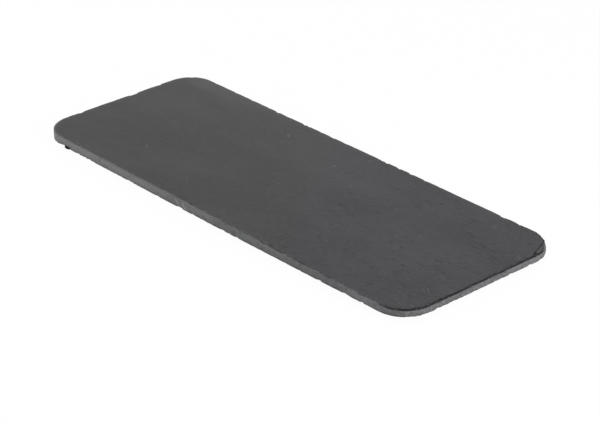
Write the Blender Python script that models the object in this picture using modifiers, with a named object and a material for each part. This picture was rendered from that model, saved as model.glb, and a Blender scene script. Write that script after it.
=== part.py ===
# Slate serving slab on four rubber feet.
# Metres, +Z up, length along X. The feet stand on z = 0 and the origin is midway between the sides.
# The stone was split along its bedding, so its two faces are riven: low waves, thin ledges, ripples
# and shallow pits, all drawn out along the length. Its rim was cut square, its corners ground round.

import random

import bmesh
import bpy
from mathutils import Vector, noise

# The stone
LENGTH = 0.330
WIDTH = 0.1275
CORNER_RADII = {  # ground by hand, so each differs; by the sides, -1 or 1 along X and Y, it lies on
    (-1, -1): 0.0215,
    (-1, 1): 0.0176,
    (1, -1): 0.0200,
    (1, 1): 0.0212,
}
THICKNESS_LEFT = 0.0058  # at the -X end, where the stone is thickest
THICKNESS_RIGHT = 0.0048  # at the +X end
BELLY = 0.0005  # how far the underside hangs lower at mid-length than over the feet

# The riven faces
WAVE_LENGTH = 0.060
WAVE_WIDTH = 0.028
WAVE_HEIGHT = 0.00022
WAVE_OCTAVES = 3
WAVE_STEP = 2.1  # each octave is finer than the last by this
WAVE_SOFTNESS = 0.9
LEDGE_LENGTH = 0.095
LEDGE_WIDTH = 0.030
LEDGE_HEIGHT = 0.00036
LEDGE_SHARPNESS = 10.0
RIPPLE_LENGTH = 0.030
RIPPLE_WIDTH = 0.0085
RIPPLE_HEIGHT = 0.00024  # at the +X end
RIPPLE_LEFT = 0.3  # the share of it left at the smoother -X end
PIT_COUNT = 24
PIT_DEPTH = 0.00028
PIT_LENGTH = 0.0080
PIT_WIDTH = 0.0042

# The rim
ARRIS_WIDTH = 0.0011  # the narrow worn strip around each face
ARRIS_DROP = 0.00022
DRESSED_WIDTH = 0.0018  # the same strip along the +X end, which was dressed with a file
DRESSED_DROP = 0.00055
DRESSED_START = 0.010  # how far into a corner the dressing fades in
SAW_WAVER = 0.00016
SAW_WAVER_LENGTH = 0.020
NICK_SPACING = 0.016
NICK_START = 0.10  # the arris is chipped where its noise is above this, fully so above NICK_FULL
NICK_FULL = 0.50
NICK_DEPTH = 0.00035
NICK_DROP = 0.00030
SPALL_X = -0.1395  # the flake missing from the lower arris in front of the front left foot
SPALL_HALF_WIDTH = 0.0080
SPALL_REACH = 0.0025
SPALL_HEIGHT = 0.0013
CHIP_BROADNESS = 0.28  # how much of a chip's half length is at its full depth
FLAKE_REACH = 0.0012
FLAKE_DROP = 0.0009
FLAKES = {  # missing from the top arris: the middle of each, and its half length
    "front edge": (-0.0195, -0.0638, 0.0100),
    "back right corner": (0.1600, 0.0560, 0.0080),
    "left end": (-0.1650, 0.0120, 0.0090),
}

# The feet
FOOT_RADIUS = 0.0040
FOOT_HEIGHT = 0.0024
FOOT_ROUNDING = 0.0008
FOOT_SIDES = 24
SEAT_GAP = 0.0003
SEAT_RADIUS = 0.009  # the underside is flat this far around a foot's centre
SEAT_BLEND = 0.012
FOOT_PLACES = {
    "foot_front_left": (-0.1411, -0.0576),
    "foot_front_right": (0.1440, -0.0520),
    "foot_back_left": (-0.1425, 0.0530),
    "foot_back_right": (0.1455, 0.0505),
}

# The mesh: cells between the grid lines, closer in the corners than along the straight sides
CORNER_ZONE = 0.020
CORNER_CELLS_ALONG = 4
MIDDLE_CELLS_ALONG = 36
CORNER_CELLS_ACROSS = 5
MIDDLE_CELLS_ACROSS = 24
RIM_ROWS = 3

HALF_LENGTH = LENGTH / 2
HALF_WIDTH = WIDTH / 2
SEAT_HEIGHT = FOOT_HEIGHT + SEAT_GAP
UNDERSIDE, TOP = 0, 1  # the levels of a point, and the keys of what the two faces differ in
FACE_SEEDS = {UNDERSIDE: 5.2, TOP: 1.7}
PIT_SEEDS = {UNDERSIDE: 12, TOP: 11}
NICK_SEEDS = {UNDERSIDE: 8.4, TOP: 3.1}
LEDGE_SEED_STEP = 10
RIPPLE_SEED_STEP = 20
SAW_SEED = 6


def clear_scene():
    for thing in list(bpy.data.objects):
        bpy.data.objects.remove(thing, do_unlink=True)


def finish(name, colour, roughness):
    material = bpy.data.materials.new(name)
    material.use_nodes = True
    shader = material.node_tree.nodes["Principled BSDF"]
    shader.inputs["Base Color"].default_value = (*colour, 1)
    shader.inputs["Roughness"].default_value = roughness
    shader.inputs["Metallic"].default_value = 0
    return material


def ease(t):
    """A smooth step from 0 to 1."""
    t = min(max(t, 0), 1)
    return t * t * (3 - 2 * t)


def grid_lines(half, corner_cells, middle_cells, low_arris, high_arris):
    """Grid lines from -half to half: an arris, a corner, the straight middle, a corner, an arris."""
    middle = half - CORNER_ZONE

    def corner_lines(arris):
        step = (CORNER_ZONE - arris) / corner_cells
        return [half] + [half - arris - i * step for i in range(corner_cells)]

    low = [-line for line in corner_lines(low_arris)]
    straight = [middle * (2 * i / middle_cells - 1) for i in range(middle_cells + 1)]
    return low + straight + corner_lines(high_arris)[::-1]


def corner_centre(x, y):
    """The radius of the rounded corner nearest to a point, and the distances of its centre."""
    radius = CORNER_RADII[1 if x > 0 else -1, 1 if y > 0 else -1]
    return radius, HALF_LENGTH - radius, HALF_WIDTH - radius


def rounded_plan(x, y):
    """Bends the square corners of the plan into quarter circles."""
    radius, centre_x, centre_y = corner_centre(x, y)
    along = (abs(x) - centre_x) / radius
    across = (abs(y) - centre_y) / radius
    if along <= 0 or across <= 0:
        return x, y
    bent_x = centre_x + radius * along * (1 - across**2 / 2) ** 0.5
    bent_y = centre_y + radius * across * (1 - along**2 / 2) ** 0.5
    return (bent_x if x > 0 else -bent_x), (bent_y if y > 0 else -bent_y)


def pits(level):
    """Shallow hollows scattered over one face: the centre and strength of each."""
    draw = random.Random(PIT_SEEDS[level])
    return [
        (
            draw.uniform(-0.92, 0.92) * HALF_LENGTH,
            draw.uniform(-0.85, 0.85) * HALF_WIDTH,
            draw.uniform(0.4, 1.0),
        )
        for _ in range(PIT_COUNT)
    ]


def relief(x, y, level, hollows):
    """Height of a riven face over its mean plane."""
    seed = FACE_SEEDS[level]
    waves = noise.fractal(
        Vector((x / WAVE_LENGTH, y / WAVE_WIDTH, seed)), WAVE_SOFTNESS, WAVE_STEP, WAVE_OCTAVES
    )
    layer = noise.noise(Vector((x / LEDGE_LENGTH, y / LEDGE_WIDTH, seed + LEDGE_SEED_STEP)))
    ledge = ease(0.5 + layer * LEDGE_SHARPNESS) - 0.5
    ripple = noise.noise(Vector((x / RIPPLE_LENGTH, y / RIPPLE_WIDTH, seed + RIPPLE_SEED_STEP)))
    ripple *= RIPPLE_LEFT + (1 - RIPPLE_LEFT) * ease(x / LENGTH + 0.5)
    sunk = sum(
        strength * 2 ** -(((x - px) / PIT_LENGTH) ** 2 + ((y - py) / PIT_WIDTH) ** 2)
        for px, py, strength in hollows[level]
    )
    raised = WAVE_HEIGHT * waves + LEDGE_HEIGHT * ledge + RIPPLE_HEIGHT * ripple
    return raised - PIT_DEPTH * min(sunk, 1)


def off_the_seats(x, y):
    """0 on the flat seat over a foot, 1 where the underside is free."""
    nearest = min(((x - fx) ** 2 + (y - fy) ** 2) ** 0.5 for fx, fy in FOOT_PLACES.values())
    return ease((nearest - SEAT_RADIUS) / SEAT_BLEND)


def top_height(x, y, hollows):
    thickness = THICKNESS_LEFT + (THICKNESS_RIGHT - THICKNESS_LEFT) * (x / LENGTH + 0.5)
    return SEAT_HEIGHT + thickness + relief(x, y, TOP, hollows)


def underside_height(x, y, hollows):
    hanging = BELLY * (1 - (x / HALF_LENGTH) ** 2)
    return SEAT_HEIGHT + off_the_seats(x, y) * (relief(x, y, UNDERSIDE, hollows) - hanging)


def nick(x, y, level):
    """How strongly the arris is chipped here, 0 to 1."""
    found = noise.noise(Vector((x / NICK_SPACING, y / NICK_SPACING, NICK_SEEDS[level])))
    return ease((found - NICK_START) / (NICK_FULL - NICK_START))


def flake(x, y):
    """How strongly a flake is missing from the top arris here, 0 to 1."""
    distances = [((x - fx) ** 2 + (y - fy) ** 2) ** 0.5 / half for fx, fy, half in FLAKES.values()]
    return ease(1 + CHIP_BROADNESS - min(distances))


def spall(x, y):
    """How strongly the flake missing from the lower arris shows here, 0 to 1."""
    beside = ease(1 + CHIP_BROADNESS - abs(x - SPALL_X) / SPALL_HALF_WIDTH)
    return beside * ease(1 - (y + HALF_WIDTH) / SPALL_REACH)


def saw_mark(x, y, level):
    """The waver of the cut rim, 0 to 1."""
    spot = Vector((x / SAW_WAVER_LENGTH, y / SAW_WAVER_LENGTH, SAW_SEED + 2 * level))
    return (1 + noise.noise(spot)) / 2


def inward(x, y):
    """The unit direction in plan from the rim towards the middle of the stone."""
    _, centre_x, centre_y = corner_centre(x, y)
    core_x = min(max(x, -centre_x), centre_x)
    core_y = min(max(y, -centre_y), centre_y)
    return Vector((core_x - x, core_y - y)).normalized()


def face_point(x, y, level, hollows):
    """A point inside one of the two riven faces."""
    if level == TOP:
        return Vector((x, y, top_height(x, y, hollows)))
    return Vector((x, y, underside_height(x, y, hollows) + SPALL_HEIGHT * spall(x, y)))


def rim_point(x, y, level, hollows):
    """A point on the rim, level 0 at the lower arris and 1 at the top arris."""
    chipped_top, flaked = nick(x, y, TOP), flake(x, y)
    chipped_under = off_the_seats(x, y) * nick(x, y, UNDERSIDE)
    dressed = ease((x - HALF_LENGTH + CORNER_ZONE) / DRESSED_START)
    top = top_height(x, y, hollows) - ARRIS_DROP - (DRESSED_DROP - ARRIS_DROP) * dressed
    top -= max(NICK_DROP * chipped_top, FLAKE_DROP * flaked)
    under = underside_height(x, y, hollows) + ARRIS_DROP
    under += max(NICK_DROP * chipped_under, SPALL_HEIGHT * spall(x, y))
    sunk = SAW_WAVER * saw_mark(x, y, level)
    if level == TOP:
        sunk += max(NICK_DEPTH * chipped_top, FLAKE_REACH * flaked)
    elif level == UNDERSIDE:
        sunk += NICK_DEPTH * chipped_under
    inwards = inward(x, y) * sunk
    return Vector((x + inwards.x, y + inwards.y, under + (top - under) * level))


def make_slab(collection):
    along = grid_lines(
        HALF_LENGTH, CORNER_CELLS_ALONG, MIDDLE_CELLS_ALONG, ARRIS_WIDTH, DRESSED_WIDTH
    )
    across = grid_lines(HALF_WIDTH, CORNER_CELLS_ACROSS, MIDDLE_CELLS_ACROSS, ARRIS_WIDTH, ARRIS_WIDTH)
    last_column, last_row = len(along) - 1, len(across) - 1

    shape = bmesh.new()
    bmesh.ops.create_grid(shape, x_segments=last_column, y_segments=last_row, size=1)
    raised = bmesh.ops.extrude_face_region(shape, geom=shape.faces[:])["geom"]
    top_corners = [part for part in raised if isinstance(part, bmesh.types.BMVert)]
    bmesh.ops.translate(shape, verts=top_corners, vec=(0, 0, TOP))
    posts = [edge for edge in shape.edges if abs(edge.verts[0].co.z - edge.verts[1].co.z) > 0.5]
    bmesh.ops.subdivide_edges(shape, edges=posts, cuts=RIM_ROWS - 1, use_grid_fill=True)

    hollows = {level: pits(level) for level in (UNDERSIDE, TOP)}
    for corner in shape.verts:
        column = round((corner.co.x + 1) / 2 * last_column)
        row = round((corner.co.y + 1) / 2 * last_row)
        x, y = rounded_plan(along[column], across[row])
        on_rim = column in (0, last_column) or row in (0, last_row)
        corner.co = (rim_point if on_rim else face_point)(x, y, corner.co.z, hollows)
    bmesh.ops.recalc_face_normals(shape, faces=shape.faces[:])

    mesh = bpy.data.meshes.new("slab")
    shape.to_mesh(mesh)
    shape.free()
    mesh.shade_smooth()
    mesh.set_sharp_from_angle(angle=0.5)
    mesh.materials.append(finish("slate", (0.080, 0.082, 0.085), 0.62))
    collection.objects.link(bpy.data.objects.new("slab", mesh))


def make_feet(collection):
    """Turned rubber buttons: a flat top under the stone, a flat sole, a rounded lower edge."""
    bevel = FOOT_ROUNDING * (1 - 0.5**0.5)
    profile = [
        (0, FOOT_HEIGHT),
        (FOOT_RADIUS, FOOT_HEIGHT),
        (FOOT_RADIUS, FOOT_ROUNDING),
        (FOOT_RADIUS - bevel, bevel),
        (FOOT_RADIUS - FOOT_ROUNDING, 0),
        (0, 0),
    ]
    outline = bpy.data.meshes.new("foot")
    outline.from_pydata(
        [(radius, 0, height) for radius, height in profile],
        [(i, i + 1) for i in range(len(profile) - 1)],
        [],
    )
    outline.materials.append(finish("black_rubber", (0.012, 0.012, 0.013), 0.75))
    for name, (x, y) in FOOT_PLACES.items():
        foot = bpy.data.objects.new(name, outline)
        foot.location = (x, y, 0)
        turned = foot.modifiers.new("turned", "SCREW")
        turned.steps = FOOT_SIDES
        turned.render_steps = FOOT_SIDES
        turned.use_merge_vertices = True
        turned.merge_threshold = 0.00001
        collection.objects.link(foot)


def main():
    clear_scene()
    collection = bpy.data.collections.new("slate_slab")
    bpy.context.scene.collection.children.link(collection)
    make_slab(collection)
    make_feet(collection)


main()
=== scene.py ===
import math
import bpy
from mathutils import Matrix, Vector


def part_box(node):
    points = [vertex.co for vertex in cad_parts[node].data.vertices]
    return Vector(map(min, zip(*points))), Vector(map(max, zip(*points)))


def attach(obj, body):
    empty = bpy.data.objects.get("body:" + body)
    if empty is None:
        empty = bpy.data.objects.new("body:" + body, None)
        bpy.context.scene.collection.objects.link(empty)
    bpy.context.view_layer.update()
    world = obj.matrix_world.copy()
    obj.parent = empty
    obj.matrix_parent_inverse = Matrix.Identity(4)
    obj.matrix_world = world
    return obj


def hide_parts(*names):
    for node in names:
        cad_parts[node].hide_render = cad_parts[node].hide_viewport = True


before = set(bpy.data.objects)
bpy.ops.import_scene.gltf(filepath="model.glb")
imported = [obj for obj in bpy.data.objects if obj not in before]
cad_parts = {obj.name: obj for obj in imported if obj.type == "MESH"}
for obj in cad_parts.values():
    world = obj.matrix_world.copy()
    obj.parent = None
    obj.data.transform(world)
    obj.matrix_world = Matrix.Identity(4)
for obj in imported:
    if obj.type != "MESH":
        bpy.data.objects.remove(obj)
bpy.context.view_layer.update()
footNames = ["foot_front_left", "foot_front_right", "foot_back_left", "foot_back_right"]
print("frame loaded:", ", ".join(sorted(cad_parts)))


# small helpers for building node trees

class Field:
    # what a node gives at one of its outputs, so that a tree's sums are written as plain arithmetic
    def __init__(self, socket):
        self.socket = socket
        self.tree = socket.id_data

    def __add__(self, other):
        return calc("ADD", self, other)

    def __radd__(self, other):
        return calc("ADD", other, self)

    def __sub__(self, other):
        return calc("SUBTRACT", self, other)

    def __rsub__(self, other):
        return calc("SUBTRACT", other, self)

    def __mul__(self, other):
        return calc("MULTIPLY", self, other)

    def __rmul__(self, other):
        return calc("MULTIPLY", other, self)

    def __truediv__(self, other):
        return calc("DIVIDE", self, other)

    def __rtruediv__(self, other):
        return calc("DIVIDE", other, self)

    def __neg__(self):
        return calc("MULTIPLY", self, -1.0)

    def __abs__(self):
        return calc("ABSOLUTE", self)


def feed(socket, value):
    if isinstance(value, Field):
        value.tree.links.new(value.socket, socket)
    else:
        socket.default_value = value


def addNode(kind, feeds, tree=None, out=0, **settings):
    # goes into the tree of the first field that is fed in, unless a tree is given
    if tree is None:
        tree = next(value.tree for value in feeds.values() if isinstance(value, Field))
    node = tree.nodes.new(kind)
    for name, value in settings.items():
        setattr(node, name, value)
    for key, value in feeds.items():
        feed(node.inputs[key], value)
    return Field(node.outputs[out])


def allOf(field):
    # everything that the field's node gives
    return [Field(socket) for socket in field.socket.node.outputs]


def calc(operation, *values):
    return addNode("ShaderNodeMath", dict(enumerate(values)), operation=operation)


def clamped(field):
    # held between 0 and 1
    field.socket.node.use_clamp = True
    return field


def vectorCalc(operation, *values, out=0):
    return addNode("ShaderNodeVectorMath", dict(enumerate(values)), out=out, operation=operation)


def joinXyz(x, y, z):
    return addNode("ShaderNodeCombineXYZ", {0: x, 1: y, 2: z})


def splitXyz(vector):
    return allOf(addNode("ShaderNodeSeparateXYZ", {0: vector}))


def ramp(value, low, high, toLow=0.0, toHigh=1.0, smooth=True):
    feeds = {"Value": value, "From Min": low, "From Max": high, "To Min": toLow, "To Max": toHigh}
    return addNode("ShaderNodeMapRange", feeds, interpolation_type="SMOOTHSTEP" if smooth else "LINEAR")


def noise(vector, scale=1.0, detail=0.0, rough=0.5, bend=0.0):
    feeds = {"Vector": vector, "Scale": scale, "Detail": detail, "Roughness": rough, "Distortion": bend}
    return addNode("ShaderNodeTexNoise", feeds)


def stretched(vector, along, across, up, shift=0.0):
    # so that one unit of noise is this long, wide and high; the shift serves as a seed
    sized = vectorCalc("MULTIPLY", vector, (1 / along, 1 / across, 1 / up))
    return vectorCalc("ADD", sized, (shift, shift * 1.7, shift * 2.3))


def cells(vector, spacing):
    # distance from the middle of the nearest cell, in metres, and two random numbers of that cell
    away, colour = allOf(addNode("ShaderNodeTexVoronoi", {"Vector": vector, "Scale": 1 / spacing}))[:2]
    return away * spacing, *splitXyz(colour)[:2]


def newTree(name, kind, inputs, outputs):
    tree = bpy.data.node_groups.new(name, kind)
    for label, (socketType, value) in inputs.items():
        socket = tree.interface.new_socket(label, in_out="INPUT", socket_type=socketType)
        if value is not None:
            socket.default_value = value
    for label, socketType in outputs.items():
        tree.interface.new_socket(label, in_out="OUTPUT", socket_type=socketType)
    given = {socket.name: Field(socket) for socket in tree.nodes.new("NodeGroupInput").outputs}
    return tree, given, tree.nodes.new("NodeGroupOutput").inputs


def placeGroup(group, feeds):
    kind = "GeometryNodeGroup" if group.bl_idname == "GeometryNodeTree" else "ShaderNodeGroup"
    return allOf(addNode(kind, feeds, node_tree=group))


def runTree(name, tree, values):
    holder = bpy.data.objects.new(name + "Builder", bpy.data.meshes.new(name + "Builder"))
    bpy.context.scene.collection.objects.link(holder)
    modifier = holder.modifiers.new("build", "NODES")
    modifier.node_group = tree
    for item in tree.interface.items_tree:
        if item.in_out == "INPUT" and item.name in values:
            modifier[item.identifier] = values[item.name]
    bpy.context.view_layer.update()
    built = holder.evaluated_get(bpy.context.evaluated_depsgraph_get())
    mesh = bpy.data.meshes.new_from_object(built)
    mesh.name = name
    bpy.data.objects.remove(holder, do_unlink=True)
    piece = bpy.data.objects.new(name, mesh)
    bpy.context.scene.collection.objects.link(piece)
    return piece


number, whole, point, anyObject, anyMaterial, geometry = (
    "NodeSocketFloat", "NodeSocketInt", "NodeSocketVector", "NodeSocketObject",
    "NodeSocketMaterial", "NodeSocketGeometry",
)
fineSpan = (0.3, 0.7)  # nearly all of a fine noise lies between these
broadSpan = (0.35, 0.65)  # and nearly all of a broad one


# camera

camera = {
    "azimuth": 47.68,  # degrees round from looking along +Y
    "elevation": 27.03,
    "distance": 1.3512,
    "target": (0.02658, -0.01395, 0.0030),
    "lens": 136.0,
    "sensor": 36.0,
    "nearest": 0.01,
    "furthest": 50,
}


def addCamera():
    data = bpy.data.cameras.new("camera")
    data.lens = camera["lens"]
    data.sensor_width = camera["sensor"]
    data.clip_start = camera["nearest"]
    data.clip_end = camera["furthest"]
    turn, tilt = math.radians(camera["azimuth"]), math.radians(camera["elevation"])
    back = Vector((math.sin(turn) * math.cos(tilt), -math.cos(turn) * math.cos(tilt), math.sin(tilt)))
    right = Vector((math.cos(turn), math.sin(turn), 0))
    up = back.cross(right)
    eye = bpy.data.objects.new("camera", data)
    bpy.context.scene.collection.objects.link(eye)
    axes = Matrix((right, up, back)).transposed().to_4x4()
    eye.matrix_world = Matrix.Translation(Vector(camera["target"]) + back * camera["distance"]) @ axes
    bpy.context.scene.camera = eye


addCamera()
print("camera placed")


# floor and light

studio = {
    "floorSize": 6.0,
    "floorGlow": 0.965,  # the table is lit from below
    "floorColour": (0.04, 0.04, 0.04),
    "skyColour": (1.0, 1.0, 1.0),
    "skyStrength": 0.30,
    "backdropStrength": 0.99,  # of the sky where it is seen past the table
    "lights": {
        "topSoftbox": {"at": (0.00, 0.20, 1.30), "size": 1.20, "power": 3.2},
        "keySoftbox": {"at": (-1.35, 1.15, 0.85), "size": 0.35, "power": 8.0},
        "leftSoftbox": {"at": (-0.60, -0.50, 0.22), "size": 0.35, "power": 2.6},
        "rightSoftbox": {"at": (0.80, 0.05, 0.22), "size": 0.40, "power": 4.8},
    },
}


def addSky(scene):
    world = bpy.data.worlds.new("studio")
    world.use_nodes = True
    sky = world.node_tree.nodes["Background"]
    sky.inputs["Color"].default_value = (*studio["skyColour"], 1)
    seen = addNode("ShaderNodeLightPath", {}, world.node_tree, out="Is Camera Ray")
    feed(sky.inputs["Strength"], ramp(seen, 0.0, 1.0, studio["skyStrength"], studio["backdropStrength"]))
    scene.world = world


def addTable(scene):
    half = studio["floorSize"] / 2
    sheet = bpy.data.meshes.new("floor")
    corners = [(-half, -half, 0), (half, -half, 0), (half, half, 0), (-half, half, 0)]
    sheet.from_pydata(corners, [], [(0, 1, 2, 3)])
    table = bpy.data.materials.new("lightTable")
    table.use_nodes = True
    shader = table.node_tree.nodes["Principled BSDF"]
    shader.inputs["Base Color"].default_value = (*studio["floorColour"], 1)
    shader.inputs["Roughness"].default_value = 1
    shader.inputs["Specular IOR Level"].default_value = 0
    shader.inputs["Emission Color"].default_value = (1, 1, 1, 1)
    shader.inputs["Emission Strength"].default_value = studio["floorGlow"]
    sheet.materials.append(table)
    floor = bpy.data.objects.new("floor", sheet)
    scene.collection.objects.link(floor)


def addLights(scene):
    for name, light in studio["lights"].items():
        data = bpy.data.lights.new(name, "AREA")
        data.size = light["size"]
        data.energy = light["power"]
        lamp = bpy.data.objects.new(name, data)
        lamp.location = light["at"]
        lamp.rotation_euler = Vector(light["at"]).to_track_quat("Z", "Y").to_euler()
        scene.collection.objects.link(lamp)


bpy.context.scene.view_settings.view_transform = "Standard"
addSky(bpy.context.scene)
addTable(bpy.context.scene)
addLights(bpy.context.scene)
print("studio lit")


# finishes

grain = {
    "fleck": 0.00050,
    "streakLength": 0.012,
    "streakWidth": 0.0012,
    "patchLength": 0.080,
    "patchWidth": 0.035,
    "patchDepth": 0.020,
}


def slateGrainGroup():
    # fine flecks, drawn-out streaks and broad patches of a split slate
    inputs = {"Position": (point, None), "Stretch": (number, 1.0), "Seed": (number, 0.0)}
    outputs = {"Flecks": number, "Streaks": number, "Patches": number}
    tree, given, result = newTree("slateGrain", "ShaderNodeTree", inputs, outputs)
    shifted = vectorCalc("ADD", given["Position"], joinXyz(given["Seed"], given["Seed"], 0.0))
    x, y, z = splitXyz(shifted)
    long, thin = given["Stretch"] * grain["streakLength"], grain["streakWidth"]
    drawn = joinXyz(x / long, y / thin, z / thin)
    broad = stretched(shifted, grain["patchLength"], grain["patchWidth"], grain["patchDepth"])
    feed(result["Flecks"], noise(shifted, 1 / grain["fleck"], detail=2.0, rough=0.6))
    feed(result["Streaks"], noise(drawn, detail=3.0, rough=0.6, bend=0.35))
    feed(result["Patches"], noise(broad, detail=2.0, rough=0.5))
    return tree


dusting = {
    "bare": 0.78,  # the noise has to pass this for a speck where Amount is 0
    "lowered": 0.45,  # and this much less where it is 1
    "softness": 0.14,
    "size": 0.0008,  # where a finish gives none
    "amount": 0.3,
}


def fineDustGroup():
    # pale dust that gathers in specks where Amount is high
    inputs = {
        "Position": (point, None),
        "Size": (number, dusting["size"]),
        "Amount": (number, dusting["amount"]),
    }
    tree, given, result = newTree("fineDust", "ShaderNodeTree", inputs, {"Mask": number})
    specks = noise(given["Position"], 1.0 / given["Size"], detail=3.0, rough=0.7)
    edge = dusting["bare"] - given["Amount"] * dusting["lowered"]
    feed(result["Mask"], ramp(specks, edge, edge + dusting["softness"]))
    return tree


flaking = {
    "flakeSize": (0.0058, 0.0022, 0.002),  # length, width and depth
    "flakeHeight": 0.0018,  # per unit of noise beyond the threshold
    "flakeThreshold": 0.10,
    # the flake tone is painted light and shade, paler where a flake is raised and darker where it is sunk
    "flakeLightAndShade": 2.7,
    "groupSize": (0.030, 0.014, 0.010, 8.8),  # the flakes come in groups; the last number is a seed
    "groupEdge": (0.46, 0.58),
    "scaleSize": (0.0052, 0.0018, 0.002, 6.6),
    "scaleHeight": 0.0005,  # per unit of noise
    # the scale tone is painted light and shade, paler where a scale is raised and darker where it is sunk
    "scaleLightAndShade": 0.55,
    "clusterSize": 0.016,  # the scales come in clusters
    "clusterEdge": (0.42, 0.60),
    "ledgeSize": (0.022, 0.0060, 0.004, 4.4),
    "ledgeEdge": (0.52, 0.55),
    "ledgeStep": 0.00006,
    "pitSpacing": 0.0095,
    "pitRadius": 0.0008,
    "pitDepth": 0.00012,
    "pitLeast": 0.4,  # a pit's size is this and a random number, times pitRadius
    "pitFloor": 0.35,  # share of its radius that is level
    "pitsLeftOut": 0.72,  # share of the cells that hold no pit
    "smoothEnd": -0.10,  # the face is smoother towards this X
    "roughEnd": 0.13,
    "smoothShare": 0.12,
}


def flakingGroup():
    # torn flakes, broken layer edges and pits, as a height in metres and a painted light and shade above or
    # below zero, paler where a flake or scale is raised and darker where it is sunk
    tree, given, result = newTree("flaking", "ShaderNodeTree", {"Position": (point, None)},
                                  {"Height": number, "Tone": number})
    spot = given["Position"]
    share = ramp(splitXyz(spot)[0], flaking["smoothEnd"], flaking["roughEnd"], flaking["smoothShare"])

    swing = noise(stretched(spot, *flaking["flakeSize"]), detail=2.0, rough=0.6, bend=0.4) - 0.5
    grouped = ramp(noise(stretched(spot, *flaking["groupSize"]), detail=1.0), *flaking["groupEdge"])
    beyond = calc("MAXIMUM", abs(swing) - flaking["flakeThreshold"], 0.0)
    torn = beyond * calc("SIGN", swing) * grouped * share

    scales = noise(stretched(spot, *flaking["scaleSize"]), detail=1.0, rough=0.6, bend=0.8)
    clustered = ramp(noise(spot, 1 / flaking["clusterSize"], detail=1.0), *flaking["clusterEdge"])
    scaly = (scales - 0.5) * clustered * share

    layers = noise(stretched(spot, *flaking["ledgeSize"]), detail=4.0, rough=0.62, bend=0.6)
    broken = ramp(layers, *flaking["ledgeEdge"]) * flaking["ledgeStep"]

    away, chance, size = cells(spot, flaking["pitSpacing"])
    wide = flaking["pitRadius"] * (size + flaking["pitLeast"])
    pit = ramp(away / wide, 1.0, flaking["pitFloor"]) * calc("GREATER_THAN", chance, flaking["pitsLeftOut"])

    feed(result["Height"], torn * flaking["flakeHeight"] + scaly * flaking["scaleHeight"]
         + broken * share + pit * -flaking["pitDepth"])
    # painted light and shade: the tone follows the height, paler where raised and darker where sunk
    feed(result["Tone"], torn * flaking["flakeLightAndShade"] + scaly * flaking["scaleLightAndShade"])
    return tree


slateGrain, fineDust, flakedFace = slateGrainGroup(), fineDustGroup(), flakingGroup()


def mixColour(factor, first, second, blend="MIX"):
    feeds = {0: factor, 6: first, 7: second}
    return addNode("ShaderNodeMix", feeds, out=2, data_type="RGBA", blend_type=blend)


def mixAboveZero(share, first, second):
    return mixColour(calc("MAXIMUM", share, 0.0), first, second)


def attributes(tree, *names):
    return [addNode("ShaderNodeAttribute", {}, tree, out="Fac", attribute_name=name) for name in names]


def newFinish(name):
    material = bpy.data.materials.new(name)
    material.use_nodes = True
    tree = material.node_tree
    return material, tree, addNode("ShaderNodeTexCoord", {}, tree, out="Object")


def setShader(tree, colour, roughness, height, bump, specular):
    inputs = tree.nodes["Principled BSDF"].inputs
    feed(inputs["Base Color"], colour)
    feed(inputs["Roughness"], roughness)
    feed(inputs["Normal"], addNode("ShaderNodeBump", {"Height": height, "Distance": 1.0, "Strength": bump}))
    inputs["Specular IOR Level"].default_value = specular


riven = {
    "stone": (0.052, 0.052, 0.053, 1),
    "paleStone": (0.066, 0.066, 0.067, 1),
    "darkStone": (0.036, 0.036, 0.037, 1),
    # pale colour for the dust near the rim, the pale margin, the painted light on raised marks and flakes,
    # and the clouds with their painted light
    "mark": (0.180, 0.180, 0.182, 1),
    # near black painted shade in sunk marks and flakes
    "pit": (0.004, 0.004, 0.004, 1),
    "violet": (1.016, 1.000, 1.066, 1),  # cast of the stone beyond violetFrom
    "violetFrom": -0.010,  # X plus violetSlant times Y
    "violetTo": 0.030,
    "violetSlant": 0.7,
    "mottleSize": (0.0070, 0.0032, 0.003, 2.9),  # length, width, depth and seed
    "patchShare": 0.70,  # of each in the stone's broad tone
    "streakShare": 0.03,
    "mottleShare": 0.26,
    "fleckEdge": (0.45, 0.25),  # of the dark flecks
    "fleckShare": 0.35,
    "markReach": 1.9,  # in squared half sizes of the mark
    "markRagged": 1.6,
    "markDepth": 0.6,
    # shares of the painted light on raised marks and flakes and of the painted shade in sunk ones
    "paintedLightShare": 0.7,
    "darkTone": -0.40,
    "cloudAndLightEdge": (0.08, 0.30),  # the strongest clouds and their painted light go paler than paleStone
    "cloudAndLightTone": 0.16,
    "roughness": (0.60, 0.74),
    "specular": 0.20,
    "fleckRelief": 0.000014,
    "streakRelief": 0.000002,
}

brim = {  # the edge of the top face
    "dustSize": 0.0011,
    "dustAmount": 0.20,
    "dustAtRim": 0.45,
    "dustOuter": (0.0008, 0.0012),  # distances in from the rim
    "dustInner": (0.0040, 0.0015),
    "dustShare": (0.10, 0.40),
    "margin": (0.0060, 0.0004),  # the paler margin along the left end and the back
    "marginTone": 0.085,
    "marginSlant": 0.35,
    "marginEdge": (-0.012, 0.008),  # Y less marginSlant times X
    "marginFalls": (-0.060, 0.040),  # X between which it falls to half
    "raggedSize": 0.0018,
    "ragged": 0.0022,
    "swellSize": 0.0045,
    # colour of the pale line painted as a highlight along the top arris
    "worn": (0.150, 0.152, 0.150, 1),
    "highlightFrom": 0.40,
    "highlightFull": 0.50,
    "highlightWidest": 0.85,
    "highlightWidth": 0.00100,
    "highlightNarrowest": 0.35,  # of highlightWidth
    "highlightEdge": (1.25, 0.80),
    "dark": (0.004, 0.004, 0.004, 1),  # the line along the front arris, at its right end
    "darkAlong": (0.142, 0.160),  # X
    "darkAcross": (0.0, -0.020),  # Y
    "darkEdge": (0.00165, 0.00090),
    "darkTone": 0.68,
    "darkRougher": 0.30,
}

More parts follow.
